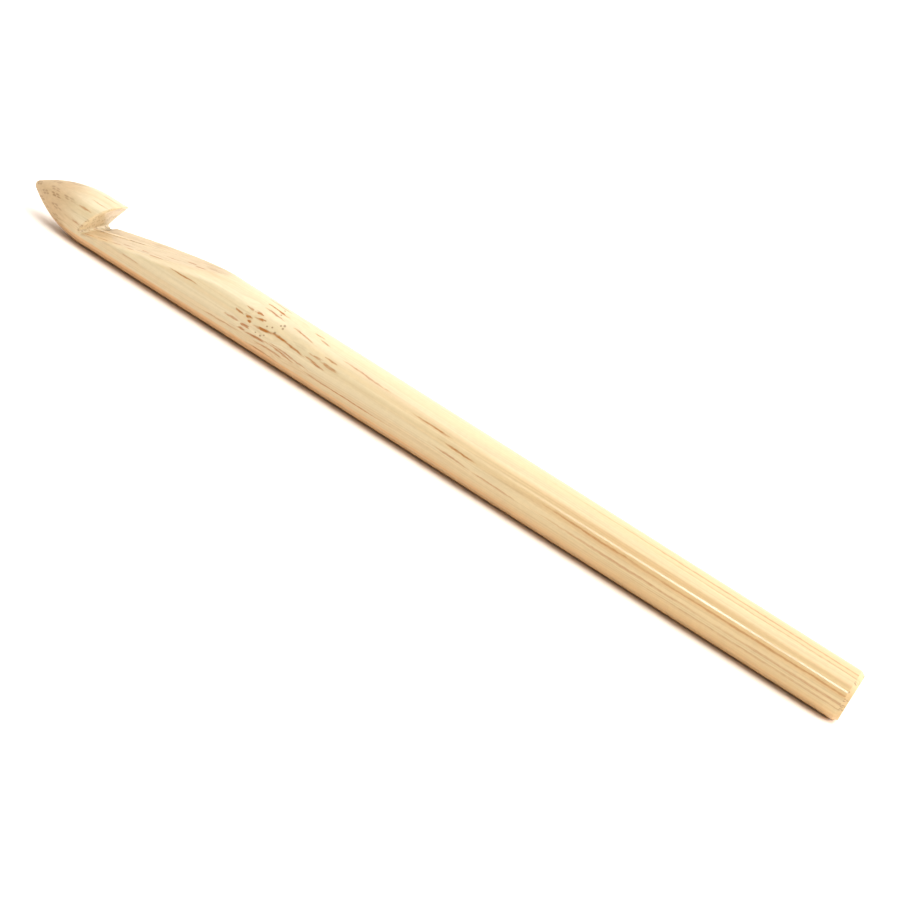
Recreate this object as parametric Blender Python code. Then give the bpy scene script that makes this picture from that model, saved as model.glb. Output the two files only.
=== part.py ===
"""Crochet hook, turned and cut from one solid strip of bamboo.

The hook lies along X as it rests on a table: nose towards -X, butt towards +X, throat
opening upwards (+Z). The origin is under the middle of its length, on the surface that it
lies on. Metres.
"""

import math

import bmesh
import bpy
from mathutils import Matrix

# The turned stick
HOOK_LENGTH = 0.1524
SHAFT_DIAMETER = 0.0090
OGIVE_LENGTH = 0.0118
NOSE_RADIUS = 0.0008
CHAMFER_LENGTH = 0.00085
CHAMFER_DEPTH = 0.0005

# The throat: a leaning, slightly hollow undercut face behind the lip, and a flat slope that
# climbs back to the shaft and rolls over at its crest
LIP_FROM_NOSE = 0.01466
VALLEY_BELOW_AXIS = 0.00155
UNDERCUT_ANGLE = math.radians(26.7)
UNDERCUT_HOLLOW = 0.00049
UNDERCUT_SKEW = math.radians(11.8)
SLOPE_ANGLE = math.radians(14.1)
CREST_RADIUS = 0.036
CREST_EXIT_ANGLE = math.radians(3.5)

# How finely the round faces are cut into flats
SIDES = 28
NOSE_STEPS = 3
OGIVE_STEPS = 9
UNDERCUT_STEPS = 6
CREST_STEPS = 3

# How far the throat's cutter stands out past the stick
CUTTER_MARGIN = 0.002

BAMBOO_COLOUR = (0.80, 0.62, 0.36, 1.0)
LACQUER_ROUGHNESS = 0.36

SHAFT_RADIUS = SHAFT_DIAMETER / 2
MERGE_DISTANCE = 1e-7
VALLEY_SEARCH_STEPS = 8
SMOOTHEST_EDGE = math.radians(25)


def clear_scene():
    for obj in list(bpy.data.objects):
        bpy.data.objects.remove(obj, do_unlink=True)


def evenly(start, end, steps):
    """steps + 1 values from start to end, both included."""
    return [start + (end - start) * step / steps for step in range(steps + 1)]


def bamboo_material():
    material = bpy.data.materials.new("lacquered_bamboo")
    material.use_nodes = True
    shader = material.node_tree.nodes["Principled BSDF"]
    shader.inputs["Base Color"].default_value = BAMBOO_COLOUR
    shader.inputs["Roughness"].default_value = LACQUER_ROUGHNESS
    shader.inputs["Metallic"].default_value = 0.0
    return material


def turned_profile():
    """(distance from the nose, radius) along the stick's outline, nose tip to butt centre.

    The ogive is one arc, tangent to the ball nose at its front and to the shaft behind.
    """
    reach = OGIVE_LENGTH - NOSE_RADIUS
    ogive_radius = (reach**2 + SHAFT_RADIUS**2 - NOSE_RADIUS**2) / (
        2 * (SHAFT_RADIUS - NOSE_RADIUS)
    )
    joining_angle = math.asin(reach / (ogive_radius - NOSE_RADIUS))
    nose = [
        (NOSE_RADIUS * (1 - math.sin(angle)), NOSE_RADIUS * math.cos(angle))
        for angle in evenly(math.pi / 2, joining_angle, NOSE_STEPS)
    ]
    ogive = [
        (
            OGIVE_LENGTH - ogive_radius * math.sin(angle),
            SHAFT_RADIUS - ogive_radius * (1 - math.cos(angle)),
        )
        for angle in evenly(joining_angle, 0.0, OGIVE_STEPS)
    ]
    butt = [
        (HOOK_LENGTH - CHAMFER_LENGTH, SHAFT_RADIUS),
        (HOOK_LENGTH, SHAFT_RADIUS - CHAMFER_DEPTH),
        (HOOK_LENGTH, 0.0),
    ]
    return nose + ogive[1:] + butt


def turned_stick():
    """The blank as it leaves the lathe, nose at X = 0 and its axis on the X axis.

    Its flats touch the true circle, so it lies on one of them and measures its diameter.
    """
    half_step = math.pi / SIDES
    over_corners = 1 / math.cos(half_step)
    stick = bmesh.new()
    verts = [
        stick.verts.new((along, 0.0, -radius * over_corners))
        for along, radius in turned_profile()
    ]
    edges = [stick.edges.new(pair) for pair in zip(verts, verts[1:])]
    bmesh.ops.rotate(stick, verts=verts, matrix=Matrix.Rotation(half_step, 3, "X"))
    bmesh.ops.spin(
        stick,
        geom=verts + edges,
        axis=(1.0, 0.0, 0.0),
        cent=(0.0, 0.0, 0.0),
        angle=2 * math.pi,
        steps=SIDES,
        use_merge=True,
    )
    bmesh.ops.remove_doubles(stick, verts=stick.verts, dist=MERGE_DISTANCE)
    bmesh.ops.recalc_face_normals(stick, faces=stick.faces)
    return stick


def undercut_face(up, across):
    """How far from the nose the undercut face is, at a height and a width.

    It leans over the throat, is skewed across the stick and is hollow between the valley
    and the lip.
    """
    height = SHAFT_RADIUS + VALLEY_BELOW_AXIS
    leaning = math.tan(UNDERCUT_ANGLE) * (up - SHAFT_RADIUS)
    skewed = math.tan(UNDERCUT_SKEW) * across
    hollowed = 4 * UNDERCUT_HOLLOW * (up + VALLEY_BELOW_AXIS) * (SHAFT_RADIUS - up) / height**2
    return LIP_FROM_NOSE + leaning + skewed - hollowed


def valley_height(across):
    """Where the undercut face meets the slope, found by stepping between the two."""
    rise = math.tan(SLOPE_ANGLE)
    middle = undercut_face(-VALLEY_BELOW_AXIS, 0.0)
    height = -VALLEY_BELOW_AXIS
    for _ in range(VALLEY_SEARCH_STEPS):
        height = -VALLEY_BELOW_AXIS + rise * (undercut_face(height, across) - middle)
    return height


def throat_outline(across):
    """The throat's outline at the width across: up the undercut face, over the top, then
    back down over the crest and along the slope.
    """
    top = SHAFT_RADIUS + CUTTER_MARGIN
    undercut = [
        (undercut_face(up, across), up)
        for up in evenly(valley_height(across), top, UNDERCUT_STEPS)
    ]

    crest_start_height = SHAFT_RADIUS - CREST_RADIUS * (1 - math.cos(SLOPE_ANGLE))
    slope_length = (crest_start_height + VALLEY_BELOW_AXIS) / math.tan(SLOPE_ANGLE)
    crest_start = undercut_face(-VALLEY_BELOW_AXIS, 0.0) + slope_length
    crest_centre = crest_start + CREST_RADIUS * math.sin(SLOPE_ANGLE)
    crest = [
        (
            crest_centre - CREST_RADIUS * math.sin(angle),
            SHAFT_RADIUS - CREST_RADIUS * (1 - math.cos(angle)),
        )
        for angle in evenly(CREST_EXIT_ANGLE, SLOPE_ANGLE, CREST_STEPS)
    ]
    exit_along, exit_height = crest[0]
    way_out = (exit_along + (top - exit_height) / math.tan(CREST_EXIT_ANGLE), top)
    return undercut + [way_out] + crest


def throat_cutter():
    """A bar across the stick with the throat's outline, in the blank's own place."""
    half_width = SHAFT_RADIUS + CUTTER_MARGIN
    cutter = bmesh.new()
    edges = []
    for across in (-half_width, half_width):
        loop = [cutter.verts.new((along, across, up)) for along, up in throat_outline(across)]
        face = cutter.faces.new(loop)
        edges += list(face.edges)
    bmesh.ops.bridge_loops(cutter, edges=edges)
    bmesh.ops.recalc_face_normals(cutter, faces=cutter.faces)
    return cutter


def object_lying(name, shape):
    """An object from a shape whose nose is at X = 0, laid down about the origin."""
    bmesh.ops.translate(shape, verts=shape.verts, vec=(-HOOK_LENGTH / 2, 0.0, SHAFT_RADIUS))
    mesh = bpy.data.meshes.new(name)
    shape.to_mesh(mesh)
    shape.free()
    obj = bpy.data.objects.new(name, mesh)
    bpy.context.scene.collection.objects.link(obj)
    return obj


def hook():
    cutter = object_lying("throat_cutter", throat_cutter())
    cutter.hide_render = True
    cutter.display_type = "WIRE"

    body = object_lying("hook", turned_stick())
    body.data.materials.append(bamboo_material())
    body.data.shade_smooth()
    body.data.set_sharp_from_angle(angle=SMOOTHEST_EDGE)
    throat = body.modifiers.new("throat", "BOOLEAN")
    throat.operation = "DIFFERENCE"
    throat.solver = "EXACT"
    throat.object = cutter


clear_scene()
hook()
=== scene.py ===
import math

import bmesh
import bpy
import numpy as np
from mathutils import Matrix, Vector


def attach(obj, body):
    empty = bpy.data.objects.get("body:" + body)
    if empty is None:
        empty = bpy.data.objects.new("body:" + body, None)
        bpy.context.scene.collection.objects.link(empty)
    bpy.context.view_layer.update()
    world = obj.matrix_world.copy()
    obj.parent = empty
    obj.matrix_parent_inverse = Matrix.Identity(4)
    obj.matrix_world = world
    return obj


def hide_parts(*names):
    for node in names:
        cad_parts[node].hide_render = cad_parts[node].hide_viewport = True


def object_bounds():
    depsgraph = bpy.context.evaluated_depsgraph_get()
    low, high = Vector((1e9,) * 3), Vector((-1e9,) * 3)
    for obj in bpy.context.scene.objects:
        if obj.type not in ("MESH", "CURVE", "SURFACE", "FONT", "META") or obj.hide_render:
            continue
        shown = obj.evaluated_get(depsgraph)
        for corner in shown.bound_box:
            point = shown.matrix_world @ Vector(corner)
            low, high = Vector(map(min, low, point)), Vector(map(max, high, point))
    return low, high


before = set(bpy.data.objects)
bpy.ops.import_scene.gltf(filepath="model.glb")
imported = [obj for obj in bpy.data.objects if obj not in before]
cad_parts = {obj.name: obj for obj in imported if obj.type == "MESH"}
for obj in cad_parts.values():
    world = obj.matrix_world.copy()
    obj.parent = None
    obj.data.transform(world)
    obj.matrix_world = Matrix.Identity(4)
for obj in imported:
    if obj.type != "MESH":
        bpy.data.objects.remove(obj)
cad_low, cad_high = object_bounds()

# ---------------------------------------------------------------------------- the hook
# The whole tool is one strip of bamboo. It is turned to a round stick with a pointed nose,
# the throat is cut into it with two flat cuts, all edges are sanded by hand, and the
# finished stick is dipped in clear lacquer.

MM = 0.001
SHAFT_RADIUS = (cad_high.z - cad_low.z) / 2
HOOK_LENGTH = cad_high.x - cad_low.x
OGIVE_LENGTH = 11.8 * MM
NOSE_RADIUS = 0.8 * MM
CHAMFER_LENGTH = 0.85 * MM
CHAMFER_DEPTH = 0.5 * MM

# The throat: a leaning, slightly hollow undercut face behind the lip, and a flat slope that
# climbs back to the shaft. Leans, skews, rises and tilts are tangents of their angles.
LIP_FROM_NOSE = 14.66 * MM
VALLEY_BELOW_AXIS = 1.55 * MM
UNDERCUT_LEAN = math.tan(math.radians(26.7))
UNDERCUT_HOLLOW = 0.49 * MM
UNDERCUT_SKEW = math.tan(math.radians(11.8))
SLOPE_RISE = math.tan(math.radians(14.1))
VALLEY_FILLET = 0.25 * MM
SLOPE_TILT = math.tan(math.radians(2.5))

# The throat's edges are sanded little on the far side, and more on the near side, where the
# sanding widens from the lip down the slope.
FAR_EDGE_EASING = 0.14 * MM
NEAR_LIP_EASING = 0.42 * MM
NEAR_SLOPE_EASING = 1.0 * MM
EASING_WIDENS_OVER = 8 * MM
FAR_SIDE_FROM = 1.0 * MM
NEAR_SIDE_FROM = -1.5 * MM

FACE_HEIGHT = SHAFT_RADIUS + VALLEY_BELOW_AXIS
VALLEY_FROM_NOSE = LIP_FROM_NOSE - UNDERCUT_LEAN * FACE_HEIGHT


def evenly(start, end, steps):
    """steps values from start up to, but not including, end."""
    return [start + (end - start) * step / steps for step in range(steps)]


def turned_radius(along):
    """The lathe profile's radius at a distance from the nose: ball nose, ogive, shaft."""
    reach = OGIVE_LENGTH - NOSE_RADIUS
    ogive = (reach**2 + SHAFT_RADIUS**2 - NOSE_RADIUS**2) / (2 * (SHAFT_RADIUS - NOSE_RADIUS))
    joint = NOSE_RADIUS * (1 - reach / (ogive - NOSE_RADIUS))
    along = np.asarray(along, float)
    ball = np.sqrt(np.maximum(NOSE_RADIUS**2 - (along - NOSE_RADIUS) ** 2, 0))
    arc = SHAFT_RADIUS - ogive + np.sqrt(ogive**2 - np.maximum(OGIVE_LENGTH - along, 0) ** 2)
    return np.where(along < joint, ball, arc)


def eased_edge(first, second, radius):
    """Where two solids overlap, with their shared edge sanded to about this radius."""
    corner = np.hypot(np.maximum(first + radius, 0), np.maximum(second + radius, 0))
    return np.minimum(np.maximum(first, second), -radius) + corner


def filleted(first, second, radius):
    """Two solids joined, with a fillet of about this radius between them."""
    corner = np.hypot(np.maximum(radius - first, 0), np.maximum(radius - second, 0))
    return np.maximum(np.minimum(first, second), radius) - corner


def outside(point):
    """How far outside the finished hook a point is; along from the nose, height from the axis."""
    along, across, up = point[..., 0], point[..., 1], point[..., 2]
    stick = np.hypot(across, up) - turned_radius(along)
    hollow = 4 * UNDERCUT_HOLLOW * (up + VALLEY_BELOW_AXIS) * (SHAFT_RADIUS - up) / FACE_HEIGHT**2
    face = LIP_FROM_NOSE + UNDERCUT_LEAN * (up - SHAFT_RADIUS) + UNDERCUT_SKEW * across - hollow
    undercut = (along - face) / math.sqrt(1 + UNDERCUT_LEAN**2 + UNDERCUT_SKEW**2)
    rise = SLOPE_RISE * (along - VALLEY_FROM_NOSE) + SLOPE_TILT * across
    slope = (up + VALLEY_BELOW_AXIS - rise) / math.sqrt(1 + SLOPE_RISE**2 + SLOPE_TILT**2)
    down_slope = np.clip((along - LIP_FROM_NOSE) / EASING_WIDENS_OVER, 0, 1)
    near_easing = NEAR_LIP_EASING + (NEAR_SLOPE_EASING - NEAR_LIP_EASING) * down_slope
    near_side = np.clip((FAR_SIDE_FROM - across) / (FAR_SIDE_FROM - NEAR_SIDE_FROM), 0, 1)
    easing = FAR_EDGE_EASING + (near_easing - FAR_EDGE_EASING) * near_side
    return eased_edge(stick, filleted(undercut, slope, VALLEY_FILLET), easing)


# Each ring of the blank is aimed at the finished surface from a core point inside it. These
# are the rings' stations on the blank, and at each: the aim along the top of the hook, the
# core point, and the aim along its underside, as (along, height) in millimetres.
R = SHAFT_RADIUS / MM
VALLEY = (VALLEY_FROM_NOSE / MM, -VALLEY_BELOW_AXIS / MM)
UNDERCUT_NORMAL = Vector((1, -UNDERCUT_LEAN)).normalized()
CORE_DEPTH = 1.3
HEAD_CORE = (
    VALLEY[0] - CORE_DEPTH * UNDERCUT_NORMAL.x,
    VALLEY[1] - CORE_DEPTH * UNDERCUT_NORMAL.y,
)
AIMS = [
    # station, top aim, core, underside aim, how far the ring is skewed
    (3.0, (3.0, R), (3.0, 0.0), (3.0, -R), 0.0),
    (13.0, (LIP_FROM_NOSE / MM - 1.0, R), HEAD_CORE, (HEAD_CORE[0] - 0.6, -R), 1.0),
    (14.0, (LIP_FROM_NOSE / MM, R), HEAD_CORE, (HEAD_CORE[0] - 0.4, -R), 1.0),
    (19.0, VALLEY, HEAD_CORE, (HEAD_CORE[0] + 0.6, -R), 1.0),
    (21.0, (VALLEY[0] + 2.6, VALLEY[1] + 2.6 * SLOPE_RISE), (14.0, -2.9), (14.0, -R), 0.6),
    (27.0, (24.0, 1.5), (23.0, -1.5), (22.6, -R), 0.0),
    (39.0, (39.0, R), (39.0, 0.0), (39.0, -R), 0.0),
]
RING_SPANS = [
    # from station, to station, rings
    (0.9, 3.0, 10),
    (3.0, 12.6, 40),
    (12.6, 14.6, 26),
    (14.6, 19.0, 40),
    (19.0, 21.0, 16),
    (21.0, 39.0, 76),
    (39.0, 150.0, 40),
]
SIDES = 192
FIRST_STEP = 0.08 * MM
HALVINGS = 30


def carved(blank):
    """Moves the blank's throat rings onto the finished surface, along rays from their cores."""
    stations = [row[0] for row in AIMS]

    def along_stations(values, at):
        return np.interp(at, stations, values)

    def plane_point(column, at):
        return np.stack(
            [
                along_stations([row[column][0] for row in AIMS], at),
                np.zeros_like(at),
                along_stations([row[column][1] for row in AIMS], at),
            ],
            axis=-1,
        ) * MM

    verts = [v for v in blank.verts if stations[0] * MM < v.co.x < stations[-1] * MM]
    start = np.array([v.co for v in verts])
    at = start[:, 0] / MM
    turn = np.arctan2(start[:, 1], start[:, 2])

    core = plane_point(2, at)
    upward = plane_point(1, at) - core
    downward = plane_point(3, at) - core
    lift = np.where(np.cos(turn)[:, None] > 0, upward, downward)
    lift /= np.linalg.norm(lift, axis=1, keepdims=True)
    skew = along_stations([row[4] for row in AIMS], at) * UNDERCUT_SKEW
    side = np.stack([skew, np.ones_like(at), np.zeros_like(at)], axis=-1)
    side /= np.linalg.norm(side, axis=1, keepdims=True)
    ray = np.abs(np.cos(turn))[:, None] * lift + np.sin(turn)[:, None] * side
    ray /= np.linalg.norm(ray, axis=1, keepdims=True)

    near = np.zeros(len(at))
    growing = np.ones(len(at), bool)
    while growing.any():
        reached = core + ray * (near + FIRST_STEP)[:, None]
        growing &= outside(reached) < 0
        near = near + FIRST_STEP * growing
    far = near + FIRST_STEP
    for _ in range(HALVINGS):
        middle = (near + far) / 2
        inside = outside(core + ray * middle[:, None]) < 0
        near = np.where(inside, middle, near)
        far = np.where(inside, far, middle)
    for vert, place in zip(verts, core + ray * near[:, None]):
        vert.co = place


nose_stations = [
    NOSE_RADIUS / MM * (1 - math.cos(angle)) for angle in evenly(0, math.radians(75), 8)
]
rings = nose_stations + [
    station for start, end, count in RING_SPANS for station in evenly(start, end, count)
]
outline = [(station * MM, float(turned_radius(station * MM))) for station in rings]
outline += [
    (HOOK_LENGTH - CHAMFER_LENGTH, SHAFT_RADIUS),
    (HOOK_LENGTH, SHAFT_RADIUS - CHAMFER_DEPTH),
    (HOOK_LENGTH, 0.0),
]

shape = bmesh.new()
line = [shape.verts.new((along, 0.0, radius)) for along, radius in outline]
edges = [shape.edges.new(pair) for pair in zip(line, line[1:])]
bmesh.ops.spin(
    shape,
    geom=line + edges,
    axis=(1, 0, 0),
    cent=(0, 0, 0),
    angle=2 * math.pi,
    steps=SIDES,
    use_merge=True,
)
bmesh.ops.remove_doubles(shape, verts=shape.verts, dist=1e-7)
bmesh.ops.recalc_face_normals(shape, faces=shape.faces)
carved(shape)
bmesh.ops.translate(shape, verts=shape.verts, vec=(cad_low.x, 0, SHAFT_RADIUS))

# The butt's chamfer has the only crisp edges, round its two rings.
for face in shape.faces:
    face.smooth = True
for edge in shape.edges:
    first, second = (vert.co for vert in edge.verts)
    on_a_ring = abs(first.x - second.x) < 1e-6
    edge.smooth = not (on_a_ring and first.x > cad_high.x - CHAMFER_LENGTH - 1e-6)
mesh = bpy.data.meshes.new("bamboo_hook")
shape.to_mesh(mesh)
shape.free()
hook = bpy.data.objects.new("bamboo_hook", mesh)
bpy.context.scene.collection.objects.link(hook)

# Moso bamboo, sanded and dipped in clear lacquer. It gives the eye a pale straw ground, fibre
# bundles that show as four dots where a cut crosses them and as fine lines along the shaft, a
# knuckle where the fibres swerve, and one thin coat of gloss over it all.


def linear(hex_colour):
    """An sRGB hex colour, as the linear colour that a socket takes."""
    parts = [int(hex_colour[at : at + 2], 16) / 255 for at in (1, 3, 5)]
    return [p / 12.92 if p <= 0.04045 else ((p + 0.055) / 1.055) ** 2.4 for p in parts] + [1.0]


def add(tree, kind, inputs, **settings):
    """Adds a node with its settings, and with its inputs as values or as links."""
    node = tree.nodes.new("ShaderNode" + kind)
    for name, value in settings.items():
        setattr(node, name, value)
    for socket, value in inputs.items():
        if isinstance(value, bpy.types.NodeSocket):
            tree.links.new(value, node.inputs[socket])
        else:
            node.inputs[socket].default_value = value
    return node


STRAW = linear("#CFBE99")
WARM_STRAW = linear("#D1B98A")
TAN = linear("#C7935A")
# Painted shade for the darker band low on the sides.
SHADE_TAN = linear("#DBA670")
# Painted light on the underside.
PAINTED_UNDERLIGHT = linear("#F4C084")
# Darker colour of cut ends, with painted shade on faces turned to the nose.
CUT_END_AND_SHADE = linear("#BD9F78")
FIBRE = linear("#A2652A")
VESSEL = linear("#7E5A36")

material = bpy.data.materials.new("lacquered_bamboo")
material.use_nodes = True
bamboo = material.node_tree
on_hook = add(bamboo, "TexCoord", {})
in_mm = add(
    bamboo,
    "Mapping",
    {"Vector": on_hook.outputs["Object"], "Location": (0, 0, -R), "Scale": (1 / MM,) * 3},
).outputs["Vector"]
from_axis = add(bamboo, "SeparateXYZ", {"Vector": in_mm})
along, across, height = (from_axis.outputs[name] for name in "XYZ")

# How squarely the surface cuts the fibres: 0 along the shaft, 1 on the nose and the butt.
cut_normal = add(bamboo, "SeparateXYZ", {"Vector": on_hook.outputs["Normal"]}).outputs["X"]
squareness = add(bamboo, "Math", {0: cut_normal}, operation="ABSOLUTE").outputs[0]
end_cut = add(
    bamboo,
    "MapRange",
    {"Value": squareness, "From Min": 0.03, "From Max": 0.38},
    interpolation_type="SMOOTHSTEP",
).outputs["Result"]

# The knuckle is about 15 mm long, and the fibres swell round it and cross each other there.
knuckle_start = add(
    bamboo,
    "MapRange",
    {"Value": along, "From Min": -39, "From Max": -34},
    interpolation_type="SMOOTHSTEP",
).outputs["Result"]
knuckle = add(
    bamboo,
    "MapRange",
    {"Value": along, "From Min": -17, "From Max": -28, "To Max": knuckle_start},
    interpolation_type="SMOOTHSTEP",
).outputs["Result"]

# Fibres wander about 0.3 mm in 45 mm of length, and more at the knuckle.
slow_place = add(bamboo, "Mapping", {"Vector": in_mm, "Scale": (1 / 45, 1 / 5, 1 / 5)})
slow = add(
    bamboo,
    "TexNoise",
    {"Vector": slow_place.outputs["Vector"], "Scale": 1.0, "Detail": 1.0},
).outputs["Color"]
wander = add(
    bamboo, "VectorMath", {0: slow, 1: (0, 1.6, 1.6), 2: (0, -0.8, -0.8)}, operation="MULTIPLY_ADD"
).outputs["Vector"]
quick_place = add(bamboo, "Mapping", {"Vector": in_mm, "Scale": (1 / 5, 1 / 2, 1 / 2)})
quick = add(
    bamboo,
    "TexNoise",
    {"Vector": quick_place.outputs["Vector"], "Scale": 1.0, "Detail": 1.0},
).outputs["Color"]
curl = add(
    bamboo,
    "VectorMath",
    {0: quick, 1: (0, 2.4, 2.4), 2: (0, -1.2, -1.2)},
    operation="MULTIPLY_ADD",
).outputs["Vector"]
curl = add(bamboo, "VectorMath", {0: curl, "Scale": knuckle}, operation="SCALE").outputs["Vector"]
swayed = add(bamboo, "VectorMath", {0: in_mm, 1: wander}, operation="ADD").outputs["Vector"]
swayed = add(bamboo, "VectorMath", {0: swayed, 1: curl}, operation="ADD").outputs["Vector"]

# Bundles stand about 1.25 mm apart in the cross-section, and closer towards the underside,
# which was the outside of the cane. Each is four dots about 0.25 mm wide. They are strong only
# where a cut crosses them.
section = add(bamboo, "SeparateXYZ", {"Vector": swayed})
crowding = add(
    bamboo, "Math", {0: section.outputs["Z"], 1: -0.05, 2: 1.0}, operation="MULTIPLY_ADD"
).outputs[0]
crowded = add(bamboo, "Math", {0: section.outputs["Z"], 1: crowding}, operation="MULTIPLY")
cell_place = add(
    bamboo, "CombineXYZ", {"X": section.outputs["Y"], "Y": crowded.outputs[0]}
).outputs["Vector"]
bundles = add(
    bamboo,
    "TexVoronoi",
    {"Vector": cell_place, "Scale": 1 / 1.25, "Randomness": 0.75},
    voronoi_dimensions="2D",
)
from_bundle = add(
    bamboo, "VectorMath", {0: cell_place, 1: bundles.outputs["Position"]}, operation="SUBTRACT"
).outputs["Vector"]
folded = add(bamboo, "VectorMath", {0: from_bundle}, operation="ABSOLUTE").outputs["Vector"]
side_dots = add(
    bamboo, "VectorMath", {0: folded, 1: (0.26, 0, 0)}, operation="DISTANCE"
).outputs["Value"]
end_dots = add(
    bamboo, "VectorMath", {0: folded, 1: (0, 0.19, 0)}, operation="DISTANCE"
).outputs["Value"]
to_dot = add(bamboo, "Math", {0: side_dots, 1: end_dots}, operation="MINIMUM").outputs[0]
ragged_place = add(bamboo, "Mapping", {"Vector": in_mm, "Scale": (1.2, 5, 5)})
ragged = add(
    bamboo, "TexNoise", {"Vector": ragged_place.outputs["Vector"], "Scale": 1.0, "Detail": 1.0}
).outputs["Fac"]
to_dot = add(bamboo, "Math", {0: ragged, 1: 0.16, 2: to_dot}, operation="MULTIPLY_ADD").outputs[0]
dots = add(
    bamboo,
    "MapRange",
    {"Value": to_dot, "From Min": 0.26, "From Max": 0.15},
    interpolation_type="SMOOTHSTEP",
).outputs["Result"]
bundle_kind = add(bamboo, "SeparateColor", {"Color": bundles.outputs["Color"]}).outputs["Red"]
darkness = add(
    bamboo, "MapRange", {"Value": bundle_kind, "From Min": 0.1, "From Max": 0.6, "To Min": 0.45}
).outputs["Result"]
cut_darkness = add(
    bamboo, "MapRange", {"Value": end_cut, "From Min": 0.45, "To Min": 0.12, "To Max": 0.6}
).outputs["Result"]
vessels = add(bamboo, "Math", {0: dots, 1: darkness}, operation="MULTIPLY").outputs[0]
vessels = add(bamboo, "Math", {0: vessels, 1: cut_darkness}, operation="MULTIPLY").outputs[0]

# Where a fibre lies in the surface: its place along the stick, and round it from the top
# towards the front, with the swelling of the knuckle taken out so that a fibre runs straight.
frontward = add(bamboo, "Math", {0: across, 1: -1.0}, operation="MULTIPLY").outputs[0]
turn = add(bamboo, "Math", {0: frontward, 1: height}, operation="ARCTAN2").outputs[0]
swell_up = add(
    bamboo,
    "MapRange",
    {"Value": along, "From Min": -36, "From Max": -29.5, "To Max": 0.5},
    interpolation_type="SMOOTHSTEP",
).outputs["Result"]
swell_down = add(
    bamboo,
    "MapRange",
    {"Value": along, "From Min": -29.5, "From Max": -19.5, "To Max": 0.5},
    interpolation_type="SMOOTHSTEP",
).outputs["Result"]
swell = add(bamboo, "Math", {0: swell_up, 1: swell_down}, operation="SUBTRACT").outputs[0]
wobble_place = add(bamboo, "Mapping", {"Vector": in_mm, "Scale": (1 / 4, 1, 1)})
wobble = add(
    bamboo, "TexNoise", {"Vector": wobble_place.outputs["Vector"], "Scale": 1.0, "Detail": 2.0}
).outputs["Fac"]
swell = add(bamboo, "Math", {0: wobble, 1: 0.3, 2: swell}, operation="MULTIPLY_ADD").outputs[0]
girth = add(bamboo, "Math", {0: turn, 1: R, 2: swell}, operation="MULTIPLY_ADD").outputs[0]
girth = add(bamboo, "Math", {0: girth, 1: 0.15}, operation="SUBTRACT").outputs[0]

# The ends of a fibre are frayed over about 1 mm, and its sides over 0.1 mm. Fibres that crop
# out of the round stick are placed along it and round it, and those on the throat's slope are
# placed along it and across it.
fray_place = add(bamboo, "Mapping", {"Vector": in_mm, "Scale": (1, 3.5, 3.5)})
fray = add(
    bamboo, "TexNoise", {"Vector": fray_place.outputs["Vector"], "Scale": 1.0, "Detail": 2.0}
).outputs["Color"]
fray = add(
    bamboo,
    "VectorMath",
    {0: fray, 1: (2.4, 0.24, 0), 2: (-1.2, -0.12, 0)},
    operation="MULTIPLY_ADD",
).outputs["Vector"]
on_stick = add(bamboo, "CombineXYZ", {"X": along, "Y": girth}).outputs["Vector"]
frayed_stick = add(bamboo, "VectorMath", {0: on_stick, 1: fray}, operation="ADD").outputs["Vector"]
on_slope = add(bamboo, "CombineXYZ", {"X": along, "Y": frontward}).outputs["Vector"]
frayed_slope = add(bamboo, "VectorMath", {0: on_slope, 1: fray}, operation="ADD").outputs["Vector"]

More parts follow.
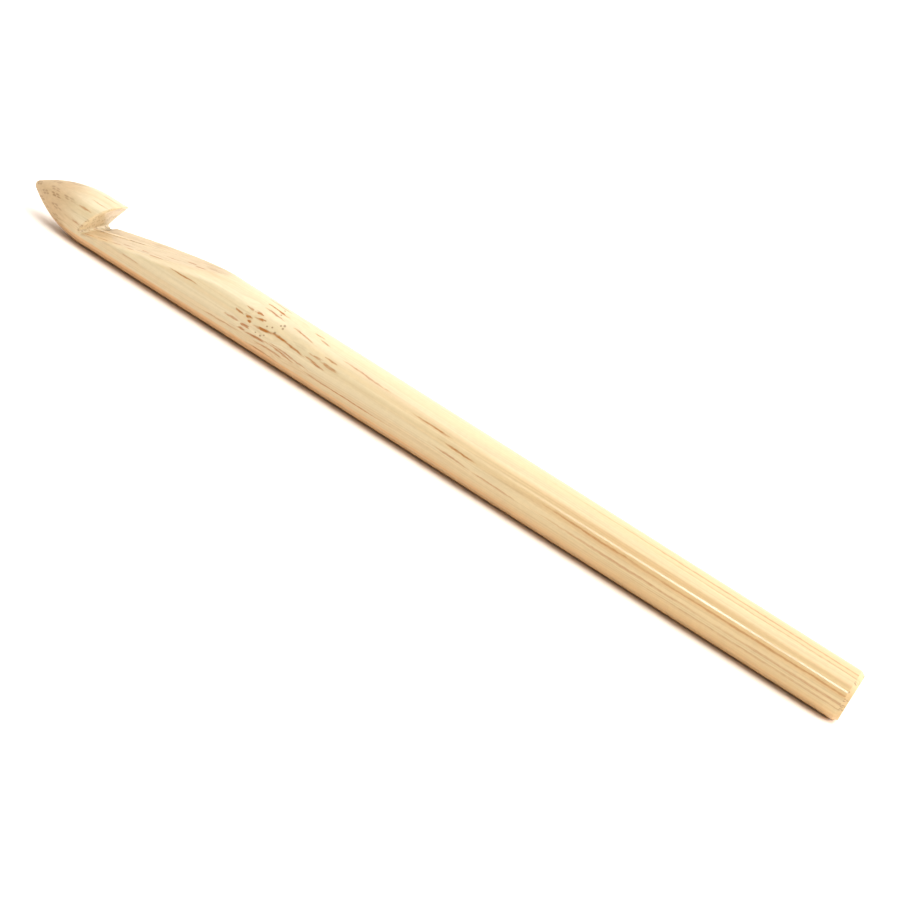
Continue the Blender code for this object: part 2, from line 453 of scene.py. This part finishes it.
# Places are in millimetres, along from the middle of the hook and round from its top towards
# the front. A fibre's colour fades out at its rim, so its spot is drawn a little larger.
STREAK_SPREAD = 1.15
STREAK_RUN_OUT = 0.3
PIN_SPREAD = 1.3
PIN_DEPTH = 0.75
STREAKS = [
    # start along and round, end along and round, half width, depth of colour
    # the head and the throat
    (-67.8, 5.1, -65.2, 5, 0.2, 0.45),
    (-66.3, 3.05, -63.4, 3.05, 0.12, 0.4),
    (-65.8, 0.9, -62.6, 0.9, 0.15, 0.4),
    (-67, 7.7, -66.2, 7.7, 0.2, 0.5),
    (-57.9, 8, -54, 8, 0.13, 0.35),
    # the slope's crest and the nose side of the knuckle
    (-43, 8.9, -34.5, 8.5, 0.15, 0.4),
    (-50.3, 5.7, -43.9, 5.7, 0.14, 0.5),
    (-36, 4.3, -35, 4.4, 0.2, 0.57),
    (-34.5, 4.3, -33.4, 4.4, 0.3, 0.82),
    (-37.5, 5.6, -36.3, 5.7, 0.25, 0.57),
    (-35.5, 5.6, -34.5, 5.6, 0.3, 0.72),
    (-34.8, 6.2, -34.1, 6.2, 0.3, 0.72),
    (-38.5, 7.1, -36.3, 7, 0.25, 0.47),
    (-35.5, 7.2, -34.2, 7.2, 0.3, 0.72),
    (-35.6, 7.9, -34.5, 7.9, 0.2, 0.62),
    # the knuckle and its butt side
    (-33.8, 5.2, -32.6, 5.1, 0.25, 0.62),
    (-34.7, 0.2, -29.6, 1.2, 0.2, 0.42),
    (-33.7, 1.8, -29.6, 2.6, 0.2, 0.67),
    (-33.7, 2.9, -30, 3.6, 0.2, 0.57),
    (-33.6, 6.5, -30.2, 6.4, 0.3, 0.77),
    (-31, 6.3, -27.5, 6.3, 0.25, 0.72),
    (-29, 6.3, -24, 6.6, 0.2, 0.62),
    (-34.6, 8.1, -30, 8.15, 0.25, 0.72),
    (-31, 8.1, -25, 8.5, 0.2, 0.57),
    (-31, 7.9, -22, 8.05, 0.15, 0.52),
    (-33, 8.8, -26, 9.1, 0.2, 0.52),
    (-34, 9.9, -27.5, 10.5, 0.2, 0.52),
    (-24.8, 2.1, -23.2, 1.9, 0.2, 0.47),
    (-23.5, 2.5, -21.6, 2.6, 0.2, 0.47),
    (-28.6, 3.55, -23.6, 3.95, 0.2, 0.57),
    (-21.2, 4.55, -19.3, 4.6, 0.2, 0.57),
    (-24, 5.6, -21.4, 5.3, 0.2, 0.47),
    (-21.8, 5.6, -18.2, 5.7, 0.25, 0.52),
    (-24.2, 6.3, -20.5, 6.5, 0.25, 0.57),
    # the shaft
    (-19.6, 3.3, -9, 3.8, 0.2, 0.47),
    (-5.2, 4.65, 3, 4.75, 0.2, 0.5),
    (0.3, 5.8, 8.4, 6.1, 0.2, 0.55),
    (17, 5.75, 42, 6.05, 0.2, 0.4),
    (23, 6.15, 104, 5.85, 0.2, 0.38),
    (-1, 7.15, 8, 7.55, 0.2, 0.42),
    (6, 7.5, 16.5, 7.75, 0.2, 0.42),
    (15.5, 7.45, 56, 7.5, 0.22, 0.38),
    (43, 7.5, 107, 7.4, 0.25, 0.36),
    (9, 1.65, 113, 1.55, 0.2, 0.36),
    (26, 8.4, 104, 8.4, 0.15, 0.27),
    (2, 4.4, 120, 4.4, 0.5, 0.1),
    (-26, 8.6, -5, 8.6, 0.15, 0.57),
    (28, 2.5, 104, 2.5, 0.15, 0.27),
]
SLOPE_STREAKS = [
    # start along and towards the front, end, half width, depth of colour
    (-64.6, 3.5, -63.1, 3.5, 0.15, 0.8),
    (-62.4, 3.2, -61, 3.4, 0.15, 0.6),
    (-60, 3.2, -58.7, 3.2, 0.15, 0.8),
    (-58.5, 2.4, -57.3, 2.4, 0.15, 0.7),
    (-57.6, 3.6, -56.4, 3.6, 0.15, 0.7),
    (-56, 2.2, -53.8, 2.4, 0.16, 0.7),
    (-53.6, 3.3, -52, 3.3, 0.16, 0.8),
    (-52, 1.2, -49.4, 1.5, 0.14, 0.6),
    (-48.5, 0.4, -46.9, 0.5, 0.17, 0.8),
    (-46.7, 1.3, -45.3, 1.3, 0.18, 0.8),
    (-45.3, 0, -43.8, 0, 0.15, 0.5),
]
PIN_DOTS = [
    # along, round, radius
    (-32.9, 7.4, 0.14),
    (-32, 7.55, 0.2),
    (-31.8, 5.7, 0.16),
    (-31.5, 7.2, 0.14),
    (-31, 1.5, 0.16),
    (-31, 2.8, 0.16),
    (-31, 5.5, 0.16),
    (-30.2, 6.05, 0.22),
    (-30, 4.6, 0.17),
    (-29.5, 4.3, 0.24),
    (-29.5, 4.85, 0.2),
]


def laid(place, spots):
    """The deepest of lens-shaped spots at a place: (x, y, half length, half width, slant, depth)."""
    deepest = 0.0
    for x, y, half_length, half_width, slant, depth in spots:
        lens = add(
            bamboo,
            "Mapping",
            {
                "Vector": place,
                "Location": (x, y, 0),
                "Rotation": (0, 0, slant),
                "Scale": (half_length, half_width, 1),
            },
            vector_type="TEXTURE",
        ).outputs["Vector"]
        reach = add(bamboo, "VectorMath", {0: lens}, operation="LENGTH").outputs["Value"]
        spot = add(
            bamboo,
            "MapRange",
            {"Value": reach, "From Min": 1.0, "From Max": 0.35, "To Max": depth},
            interpolation_type="SMOOTHSTEP",
        ).outputs["Result"]
        deepest = add(bamboo, "Math", {0: spot, 1: deepest}, operation="MAXIMUM").outputs[0]
    return deepest


def lenses(streaks):
    """The same streaks as laid() takes them: by their middle, half length and slant."""
    return [
        (
            (x0 + x1) / 2,
            (y0 + y1) / 2,
            math.hypot(x1 - x0, y1 - y0) / 2 + STREAK_RUN_OUT,
            STREAK_SPREAD * half_width,
            math.atan2(y1 - y0, x1 - x0),
            depth,
        )
        for x0, y0, x1, y1, half_width, depth in streaks
    ]


fibres = laid(frayed_stick, lenses(STREAKS))
slope_fibres = laid(frayed_slope, lenses(SLOPE_STREAKS))
pins = laid(
    on_stick,
    [
        (x, y, PIN_SPREAD * radius, PIN_SPREAD * radius, 0.0, PIN_DEPTH)
        for x, y, radius in PIN_DOTS
    ],
)

# Fine grain is about 0.3 mm wide, broad bands about 1.5 mm, and the mottle about 0.8 mm.
fine_place = add(bamboo, "Mapping", {"Vector": swayed, "Scale": (1 / 35, 3, 3)})
fine = add(
    bamboo, "TexNoise", {"Vector": fine_place.outputs["Vector"], "Scale": 1.0, "Detail": 2.0}
).outputs["Fac"]
broad_place = add(bamboo, "Mapping", {"Vector": swayed, "Scale": (1 / 90, 1 / 1.6, 1 / 1.6)})
broad = add(
    bamboo, "TexNoise", {"Vector": broad_place.outputs["Vector"], "Scale": 1.0, "Detail": 1.0}
).outputs["Fac"]
mottle = add(bamboo, "TexNoise", {"Vector": in_mm, "Scale": 1.3, "Detail": 3.0}).outputs["Fac"]

# The colour is put on in layers: ground, bands, a painted shade band low on the sides, painted light
# underneath, cut ends with painted shade where they face the nose, fibres, and the dots last. A
# colour Mix takes its share at 0 and its two colours at 6 and 7, and gives the result at 2.
butt_ward = add(
    bamboo, "MapRange", {"Value": along, "From Min": -30, "From Max": 40}
).outputs["Result"]
colour = add(
    bamboo, "Mix", {0: butt_ward, 6: STRAW, 7: WARM_STRAW}, data_type="RGBA"
).outputs[2]
band_share = add(
    bamboo, "MapRange", {"Value": broad, "From Min": 0.45, "From Max": 0.75, "To Max": 0.3}
).outputs["Result"]
colour = add(bamboo, "Mix", {0: band_share, 6: colour, 7: TAN}, data_type="RGBA").outputs[2]

# A darker tan band low on the sides is painted shade: the lacquer's mirror image of the shaded table
# by the contact. It fades towards the butt.
low_shade_share = add(
    bamboo,
    "MapRange",
    {"Value": height, "From Min": -2.4, "From Max": -2.8, "To Max": 0.85},
    interpolation_type="SMOOTHSTEP",
).outputs["Result"]
low_shade_lines = add(
    bamboo, "MapRange", {"Value": fine, "From Min": 0.35, "From Max": 0.65, "To Min": 0.5}
).outputs["Result"]
low_shade_share = add(bamboo, "Math", {0: low_shade_share, 1: low_shade_lines}, operation="MULTIPLY").outputs[0]
low_shade_left = add(
    bamboo, "MapRange", {"Value": butt_ward, "To Min": 1.0, "To Max": 0.4}
).outputs["Result"]
low_shade_share = add(bamboo, "Math", {0: low_shade_share, 1: low_shade_left}, operation="MULTIPLY").outputs[0]
colour = add(bamboo, "Mix", {0: low_shade_share, 6: colour, 7: SHADE_TAN}, data_type="RGBA").outputs[2]
# The underside below the band is painted paler and more orange: painted light from the white table
# below it.
underlight_share = add(
    bamboo,
    "MapRange",
    {"Value": height, "From Min": -3.2, "From Max": -4.2, "To Max": 0.9},
    interpolation_type="SMOOTHSTEP",
).outputs["Result"]
colour = add(bamboo, "Mix", {0: underlight_share, 6: colour, 7: PAINTED_UNDERLIGHT}, data_type="RGBA").outputs[2]

# Cut fibre ends soak up more lacquer and turn darker. Where they face the nose they are darker
# still: that part is painted shade, for the dimmer light from the nose's side.
nose_facing_cut_and_shade = add(
    bamboo,
    "MapRange",
    {"Value": cut_normal, "From Min": -0.03, "From Max": -0.38, "To Max": 0.85},
    interpolation_type="SMOOTHSTEP",
).outputs["Result"]
cut_and_shade_share = add(bamboo, "Math", {0: end_cut, 1: 0.4}, operation="MULTIPLY").outputs[0]
cut_and_shade_share = add(bamboo, "Math", {0: cut_and_shade_share, 1: nose_facing_cut_and_shade}, operation="MAXIMUM").outputs[0]
colour = add(bamboo, "Mix", {0: cut_and_shade_share, 6: colour, 7: CUT_END_AND_SHADE}, data_type="RGBA").outputs[2]
fine_shade = add(
    bamboo,
    "MapRange",
    {"Value": fine, "From Min": 0.3, "From Max": 0.7, "To Min": 1.05, "To Max": 0.93},
).outputs["Result"]
mottle_shade = add(
    bamboo,
    "MapRange",
    {"Value": mottle, "From Min": 0.3, "From Max": 0.7, "To Min": 1.02, "To Max": 0.97},
).outputs["Result"]
shade = add(bamboo, "Math", {0: fine_shade, 1: mottle_shade}, operation="MULTIPLY").outputs[0]
colour = add(
    bamboo, "VectorMath", {0: colour, "Scale": shade}, operation="SCALE"
).outputs["Vector"]
along_shaft = add(bamboo, "Math", {0: 1.0, 1: end_cut}, operation="SUBTRACT").outputs[0]
drawn = add(bamboo, "Math", {0: fibres, 1: along_shaft}, operation="MULTIPLY").outputs[0]

# Fibres drawn on the throat's slope stop where the surface no longer climbs.
climbing = add(
    bamboo, "MapRange", {"Value": cut_normal, "From Min": -0.05, "From Max": -0.2}
).outputs["Result"]
on_cut = add(bamboo, "Math", {0: slope_fibres, 1: climbing}, operation="MULTIPLY").outputs[0]
drawn = add(bamboo, "Math", {0: drawn, 1: on_cut}, operation="MAXIMUM").outputs[0]

# The colour of a fibre is uneven, in grains about 0.2 mm wide.
grainy = add(
    bamboo,
    "MapRange",
    {"Value": ragged, "From Min": 0.3, "From Max": 0.7, "To Min": 1.7, "To Max": 1.1},
).outputs["Result"]
drawn = add(bamboo, "Math", {0: drawn, 1: grainy}, operation="MULTIPLY").outputs[0]
colour = add(bamboo, "Mix", {0: drawn, 6: colour, 7: FIBRE}, data_type="RGBA").outputs[2]
colour = add(bamboo, "Mix", {0: pins, 6: colour, 7: VESSEL}, data_type="RGBA").outputs[2]
colour = add(bamboo, "Mix", {0: vessels, 6: colour, 7: VESSEL}, data_type="RGBA").outputs[2]

# The lacquer fills most of the grain: what is left of it is under 0.01 mm deep. The cuts soak
# the lacquer up, so the coat is thinner there.
bump = add(bamboo, "Bump", {"Height": fine, "Strength": 0.4, "Distance": 0.012 * MM})
roughness = add(
    bamboo,
    "MapRange",
    {"Value": fine, "From Min": 0.3, "From Max": 0.7, "To Min": 0.38, "To Max": 0.5},
).outputs["Result"]
lacquer = add(
    bamboo, "MapRange", {"Value": end_cut, "To Min": 0.85, "To Max": 0.2}
).outputs["Result"]
surface = bamboo.nodes["Principled BSDF"]
surface.inputs["Specular IOR Level"].default_value = 0.2
surface.inputs["Coat Roughness"].default_value = 0.1
bamboo.links.new(colour, surface.inputs["Base Color"])
bamboo.links.new(roughness, surface.inputs["Roughness"])
bamboo.links.new(lacquer, surface.inputs["Coat Weight"])
bamboo.links.new(bump.outputs["Normal"], surface.inputs["Normal"])
mesh.materials.append(material)

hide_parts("hook")
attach(hook, "root")

# ---------------------------------------------------------------------------- the studio
# The table is one flat board, painted matt white. It gives the eye no edge and no texture.
floor_mesh = bpy.data.meshes.new("floor")
floor_shape = bmesh.new()
bmesh.ops.create_grid(floor_shape, x_segments=1, y_segments=1, size=4.0)
floor_shape.to_mesh(floor_mesh)
floor_shape.free()
floor = bpy.data.objects.new("floor", floor_mesh)
bpy.context.scene.collection.objects.link(floor)
white = bpy.data.materials.new("matt_white_paint")
white.use_nodes = True
paint = white.node_tree.nodes["Principled BSDF"]
paint.inputs["Base Color"].default_value = linear("#F8F1E8")
paint.inputs["Roughness"].default_value = 0.9
floor_mesh.materials.append(white)

# The room is a white tent, brightest overhead and on the butt's side, and dimmer at the back.
# Its front is open: dark up to about 45 degrees above the table, and full white from about 65.
world = bpy.data.worlds.new("white_tent")
bpy.context.scene.world = world
world.use_nodes = True
tent = world.node_tree
generated = add(tent, "TexCoord", {}).outputs["Generated"]
direction = add(tent, "SeparateXYZ", {"Vector": generated})
upward = add(
    tent,
    "MapRange",
    {"Value": direction.outputs["Z"], "From Min": 0.3, "From Max": 0.8, "To Max": 1.85},
    interpolation_type="SMOOTHSTEP",
).outputs["Result"]
forward = add(
    tent,
    "MapRange",
    {
        "Value": direction.outputs["Y"],
        "From Min": -0.15,
        "From Max": 0.42,
        "To Min": 1.0,
        "To Max": 0.1,
    },
    interpolation_type="SMOOTHSTEP",
).outputs["Result"]
butt_side = add(
    tent,
    "MapRange",
    {
        "Value": direction.outputs["X"],
        "From Min": 0.1,
        "From Max": 0.8,
        "To Min": 1.0,
        "To Max": 4.0,
    },
).outputs["Result"]
glow = add(
    tent, "Math", {0: upward, 1: forward, 2: butt_side}, operation="MULTIPLY_ADD"
).outputs[0]
steepness = add(
    tent, "VectorMath", {0: generated, 1: (0, 0.81, 0.59)}, operation="DOT_PRODUCT"
).outputs["Value"]
above = add(
    tent,
    "MapRange",
    {"Value": steepness, "From Min": -0.14, "From Max": 0.2, "To Min": 0.05},
    interpolation_type="SMOOTHSTEP",
).outputs["Result"]
beside = add(
    tent,
    "MapRange",
    {"Value": direction.outputs["Y"], "From Min": -0.35, "From Max": -0.12},
    interpolation_type="SMOOTHSTEP",
).outputs["Result"]
opening = add(tent, "Math", {0: above, 1: beside}, operation="MAXIMUM").outputs[0]
glow = add(tent, "Math", {0: glow, 1: opening}, operation="MULTIPLY").outputs[0]
tent.links.new(glow, tent.nodes["Background"].inputs["Strength"])
tent.nodes["Background"].inputs["Color"].default_value = (1, 1, 1, 1)

# In the dark front is a window with two clear panes to the right and two dim ones to the left.
# It makes the thin line of gloss along the shaft.
WINDOW_HEIGHT = 0.085
WINDOW_AHEAD = 0.60
WINDOW_ABOVE = 0.335
PANES = (
    # middle from left to right, width, brightness
    (-0.075, 0.080, 2.0),
    (-0.012, 0.045, 7.0),
    (0.0245, 0.027, 21.0),
    (0.068, 0.020, 21.0),
)
for middle_x, width, brightness in PANES:
    pane = bpy.data.lights.new("window_pane", "AREA")
    pane.shape = "RECTANGLE"
    pane.size, pane.size_y = width, WINDOW_HEIGHT
    pane.energy = math.pi * width * WINDOW_HEIGHT * brightness
    light = bpy.data.objects.new("window_pane", pane)
    light.location = (middle_x, -WINDOW_AHEAD, WINDOW_ABOVE)
    light.rotation_euler = (-light.location).to_track_quat("-Z", "Y").to_euler()
    bpy.context.scene.collection.objects.link(light)

# A long lens looks down at the hook from its front, and is rolled so that the hook lies from
# the upper left to the lower right. It aims a little right of the hook's middle, and below it.
camera_data = bpy.data.cameras.new("camera")
camera_data.lens = 180
camera_data.sensor_width = 36
camera_data.clip_start = 0.05
camera = bpy.data.objects.new("camera", camera_data)
bpy.context.scene.collection.objects.link(camera)
bpy.context.scene.camera = camera

CAMERA_DISTANCE = 0.7066
CAMERA_AZIMUTH = math.radians(6.53)
CAMERA_ELEVATION = math.radians(18.35)
CAMERA_ROLL = math.radians(30.26)
AIM_RIGHT = 0.0017
AIM_DOWN = 0.0020
back = Vector(
    (
        math.sin(CAMERA_AZIMUTH) * math.cos(CAMERA_ELEVATION),
        -math.cos(CAMERA_AZIMUTH) * math.cos(CAMERA_ELEVATION),
        math.sin(CAMERA_ELEVATION),
    )
)
facing = back.to_track_quat("Z", "Y").to_matrix() @ Matrix.Rotation(CAMERA_ROLL, 3, "Z")
aim = Vector((0, 0, SHAFT_RADIUS)) + facing @ Vector((AIM_RIGHT, -AIM_DOWN, 0))
camera.matrix_world = Matrix.Translation(aim + back * CAMERA_DISTANCE) @ facing.to_4x4()

bpy.context.scene.view_settings.view_transform = "Standard"
